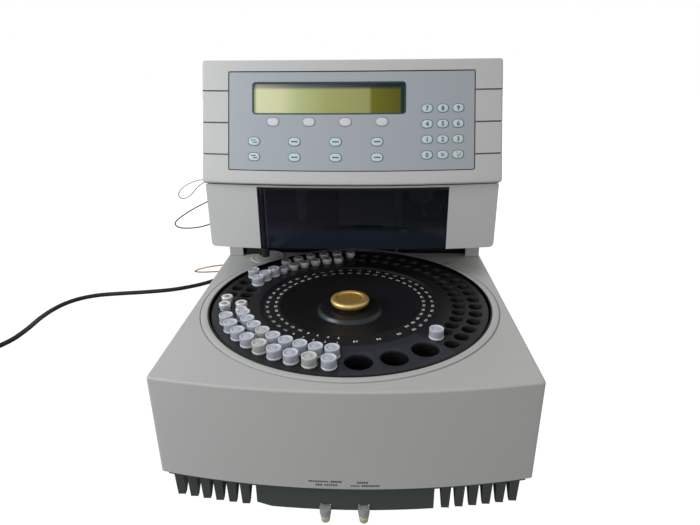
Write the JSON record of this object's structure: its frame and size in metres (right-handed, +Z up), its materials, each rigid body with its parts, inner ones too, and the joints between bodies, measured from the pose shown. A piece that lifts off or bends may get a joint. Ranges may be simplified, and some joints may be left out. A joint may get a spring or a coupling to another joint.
{
  "type": "autosampler",
  "caption": "Benchtop liquid autosampler: a turning tray of vial sockets in front of a needle station with a swinging smoked window, under a tilted keypad panel with a display.",
  "frame": {"origin": "on the bench, at the middle of the instrument's footprint without its lead, plug and capillaries", "axes": "+Z up, front towards -Y, +X to the right of someone who faces the front"},
  "size_m": [0.7407, 0.6975, 0.36],
  "materials": {
    "grey_moulding": "light grey textured paint",
    "pale_moulding": "pale grey moulding, fine texture",
    "dark_casting": "dark painted casting",
    "dark_sheet": "dark painted sheet",
    "black_moulding": "black, satin",
    "tray_black": "black with printed white numbers",
    "gilt_metal": "gold anodised, turned",
    "brass": "machined",
    "steel": "machined",
    "smoked_glazing": "smoked, glossy",
    "keypad_film": "bluish grey membrane",
    "display_green": "yellow-green display",
    "key_white": "pale key caps with outlines",
    "natural_nylon": "translucent beige",
    "syringe_glass": "clear",
    "lead_rubber": "black",
    "clear_tube": "clear fluoropolymer tube",
    "dark_tube": "dark tube",
    "amber_tube": "amber tube"
  },
  "bodies": {
    "instrument": {"base_cover": "grey_moulding", "front_housing": "grey_moulding", "rear_casing": "grey_moulding", "panel_bezel": "pale_moulding", "base_pan": "dark_casting", "rear_panel": "dark_sheet", "mechanism_frame": "dark_sheet", "well_liner": "black_moulding", "tray_motor": "black_moulding", "window_hinge": "black_moulding", "mains_inlet": "black_moulding", "injection_valve": "steel", "keypad_overlay": "keypad_film", "display_module": "display_green", "drain_nozzle_left": "natural_nylon", "drain_nozzle_right": "natural_nylon", "syringe_barrel": "syringe_glass", "lead_connector": "lead_rubber", "mains_lead": "lead_rubber", "mains_lead_coil": "lead_rubber", "mains_plug": "lead_rubber", "capillary_clear": "clear_tube", "capillary_dark": "dark_tube", "capillary_amber": "amber_tube"},
    "tray": {"sample_tray": "tray_black", "tray_hub": "steel"},
    "knob": {"tray_knob": "gilt_metal"},
    "pinion": {"motor_pinion": "brass"},
    "window": {"front_window": "smoked_glazing"},
    "arm": {"needle_arm": "black_moulding"},
    "slider": {"needle_slider": "black_moulding", "needle": "steel"},
    "rotor": {"valve_rotor": "black_moulding"},
    "plunger": {"syringe_plunger": "steel"},
    "switch": {"power_switch": "black_moulding"},
    "fan": {"cooling_fan": "black_moulding"},
    "key_soft_1_cap": {"key_soft_1": "key_white"},
    "key_soft_2_cap": {"key_soft_2": "key_white"},
    "key_soft_3_cap": {"key_soft_3": "key_white"},
    "key_soft_4_cap": {"key_soft_4": "key_white"},
    "key_function_1_cap": {"key_function_1": "key_white"},
    "key_function_2_cap": {"key_function_2": "key_white"},
    "key_function_3_cap": {"key_function_3": "key_white"},
    "key_function_4_cap": {"key_function_4": "key_white"},
    "key_function_5_cap": {"key_function_5": "key_white"},
    "key_function_6_cap": {"key_function_6": "key_white"},
    "key_function_7_cap": {"key_function_7": "key_white"},
    "key_function_8_cap": {"key_function_8": "key_white"},
    "key_0_cap": {"key_0": "key_white"},
    "key_1_cap": {"key_1": "key_white"},
    "key_2_cap": {"key_2": "key_white"},
    "key_3_cap": {"key_3": "key_white"},
    "key_4_cap": {"key_4": "key_white"},
    "key_5_cap": {"key_5": "key_white"},
    "key_6_cap": {"key_6": "key_white"},
    "key_7_cap": {"key_7": "key_white"},
    "key_8_cap": {"key_8": "key_white"},
    "key_9_cap": {"key_9": "key_white"},
    "key_clear_cap": {"key_clear": "key_white"},
    "key_enter_cap": {"key_enter": "key_white"}
  },
  "joints": [
    {"name": "tray_spin", "type": "hinge", "parent": "instrument", "child": "tray", "pos_m": [0, -0.133, 0.12], "axis": [0, 0, 1], "continuous": true},
    {"name": "knob_turn", "type": "hinge", "parent": "tray", "child": "knob", "pos_m": [0, -0.133, 0.139], "axis": [0, 0, 1], "continuous": true},
    {"name": "pinion_spin", "type": "hinge", "parent": "instrument", "child": "pinion", "pos_m": [0.02652, -0.10648, 0.09], "axis": [0, 0, 1], "continuous": true},
    {"name": "window_swing", "type": "hinge", "parent": "instrument", "child": "window", "pos_m": [-0.0903, -0.08473, 0.21], "axis": [0, 0, -1], "range_deg": [0, 110]},
    {"name": "arm_slide", "type": "slide", "parent": "instrument", "child": "arm", "axis": [1, 0, 0], "range_m": [0, 0.0587]},
    {"name": "needle_drop", "type": "slide", "parent": "arm", "child": "slider", "axis": [0, 0, -1], "range_m": [0, 0.0355]},
    {"name": "valve_turn", "type": "hinge", "parent": "instrument", "child": "rotor", "pos_m": [0.079, 0.02, 0.217], "axis": [0, 1, 0], "range_deg": [0, 60]},
    {"name": "syringe_draw", "type": "slide", "parent": "instrument", "child": "plunger", "axis": [0, 0, 1], "range_m": [0, 0.04]},
    {"name": "switch_rock", "type": "hinge", "parent": "instrument", "child": "switch", "pos_m": [-0.055, 0.2845, 0.085], "axis": [1, 0, 0], "range_deg": [0, 10]},
    {"name": "fan_spin", "type": "hinge", "parent": "instrument", "child": "fan", "pos_m": [0.06, 0.2762, 0.24], "axis": [0, 1, 0], "continuous": true},
    {"name": "key_soft_1_press", "type": "slide", "parent": "instrument", "child": "key_soft_1_cap", "axis": [0, 0.9354, -0.3535], "range_m": [0, 0.0004], "stiffness_N_per_m": 600},
    {"name": "key_soft_2_press", "type": "slide", "parent": "instrument", "child": "key_soft_2_cap", "axis": [0, 0.9354, -0.3535], "range_m": [0, 0.0004], "stiffness_N_per_m": 600},
    {"name": "key_soft_3_press", "type": "slide", "parent": "instrument", "child": "key_soft_3_cap", "axis": [0, 0.9354, -0.3535], "range_m": [0, 0.0004], "stiffness_N_per_m": 600},
    {"name": "key_soft_4_press", "type": "slide", "parent": "instrument", "child": "key_soft_4_cap", "axis": [0, 0.9354, -0.3535], "range_m": [0, 0.0004], "stiffness_N_per_m": 600},
    {"name": "key_function_1_press", "type": "slide", "parent": "instrument", "child": "key_function_1_cap", "axis": [0, 0.9354, -0.3535], "range_m": [0, 0.0004], "stiffness_N_per_m": 600},
    {"name": "key_function_2_press", "type": "slide", "parent": "instrument", "child": "key_function_2_cap", "axis": [0, 0.9354, -0.3535], "range_m": [0, 0.0004], "stiffness_N_per_m": 600},
    {"name": "key_function_3_press", "type": "slide", "parent": "instrument", "child": "key_function_3_cap", "axis": [0, 0.9354, -0.3535], "range_m": [0, 0.0004], "stiffness_N_per_m": 600},
    {"name": "key_function_4_press", "type": "slide", "parent": "instrument", "child": "key_function_4_cap", "axis": [0, 0.9354, -0.3535], "range_m": [0, 0.0004], "stiffness_N_per_m": 600},
    {"name": "key_function_5_press", "type": "slide", "parent": "instrument", "child": "key_function_5_cap", "axis": [0, 0.9354, -0.3535], "range_m": [0, 0.0004], "stiffness_N_per_m": 600},
    {"name": "key_function_6_press", "type": "slide", "parent": "instrument", "child": "key_function_6_cap", "axis": [0, 0.9354, -0.3535], "range_m": [0, 0.0004], "stiffness_N_per_m": 600},
    {"name": "key_function_7_press", "type": "slide", "parent": "instrument", "child": "key_function_7_cap", "axis": [0, 0.9354, -0.3535], "range_m": [0, 0.0004], "stiffness_N_per_m": 600},
    {"name": "key_function_8_press", "type": "slide", "parent": "instrument", "child": "key_function_8_cap", "axis": [0, 0.9354, -0.3535], "range_m": [0, 0.0004], "stiffness_N_per_m": 600},
    {"name": "key_0_press", "type": "slide", "parent": "instrument", "child": "key_0_cap", "axis": [0, 0.9354, -0.3535], "range_m": [0, 0.0004], "stiffness_N_per_m": 600},
    {"name": "key_1_press", "type": "slide", "parent": "instrument", "child": "key_1_cap", "axis": [0, 0.9354, -0.3535], "range_m": [0, 0.0004], "stiffness_N_per_m": 600},
    {"name": "key_2_press", "type": "slide", "parent": "instrument", "child": "key_2_cap", "axis": [0, 0.9354, -0.3535], "range_m": [0, 0.0004], "stiffness_N_per_m": 600},
    {"name": "key_3_press", "type": "slide", "parent": "instrument", "child": "key_3_cap", "axis": [0, 0.9354, -0.3535], "range_m": [0, 0.0004], "stiffness_N_per_m": 600},
    {"name": "key_4_press", "type": "slide", "parent": "instrument", "child": "key_4_cap", "axis": [0, 0.9354, -0.3535], "range_m": [0, 0.0004], "stiffness_N_per_m": 600},
    {"name": "key_5_press", "type": "slide", "parent": "instrument", "child": "key_5_cap", "axis": [0, 0.9354, -0.3535], "range_m": [0, 0.0004], "stiffness_N_per_m": 600},
    {"name": "key_6_press", "type": "slide", "parent": "instrument", "child": "key_6_cap", "axis": [0, 0.9354, -0.3535], "range_m": [0, 0.0004], "stiffness_N_per_m": 600},
    {"name": "key_7_press", "type": "slide", "parent": "instrument", "child": "key_7_cap", "axis": [0, 0.9354, -0.3535], "range_m": [0, 0.0004], "stiffness_N_per_m": 600},
    {"name": "key_8_press", "type": "slide", "parent": "instrument", "child": "key_8_cap", "axis": [0, 0.9354, -0.3535], "range_m": [0, 0.0004], "stiffness_N_per_m": 600},
    {"name": "key_9_press", "type": "slide", "parent": "instrument", "child": "key_9_cap", "axis": [0, 0.9354, -0.3535], "range_m": [0, 0.0004], "stiffness_N_per_m": 600},
    {"name": "key_clear_press", "type": "slide", "parent": "instrument", "child": "key_clear_cap", "axis": [0, 0.9354, -0.3535], "range_m": [0, 0.0004], "stiffness_N_per_m": 600},
    {"name": "key_enter_press", "type": "slide", "parent": "instrument", "child": "key_enter_cap", "axis": [0, 0.9354, -0.3535], "range_m": [0, 0.0004], "stiffness_N_per_m": 600}
  ],
  "couplings": [
    {"joint": "pinion_spin", "follows": "tray_spin", "ratio": -4}
  ]
}
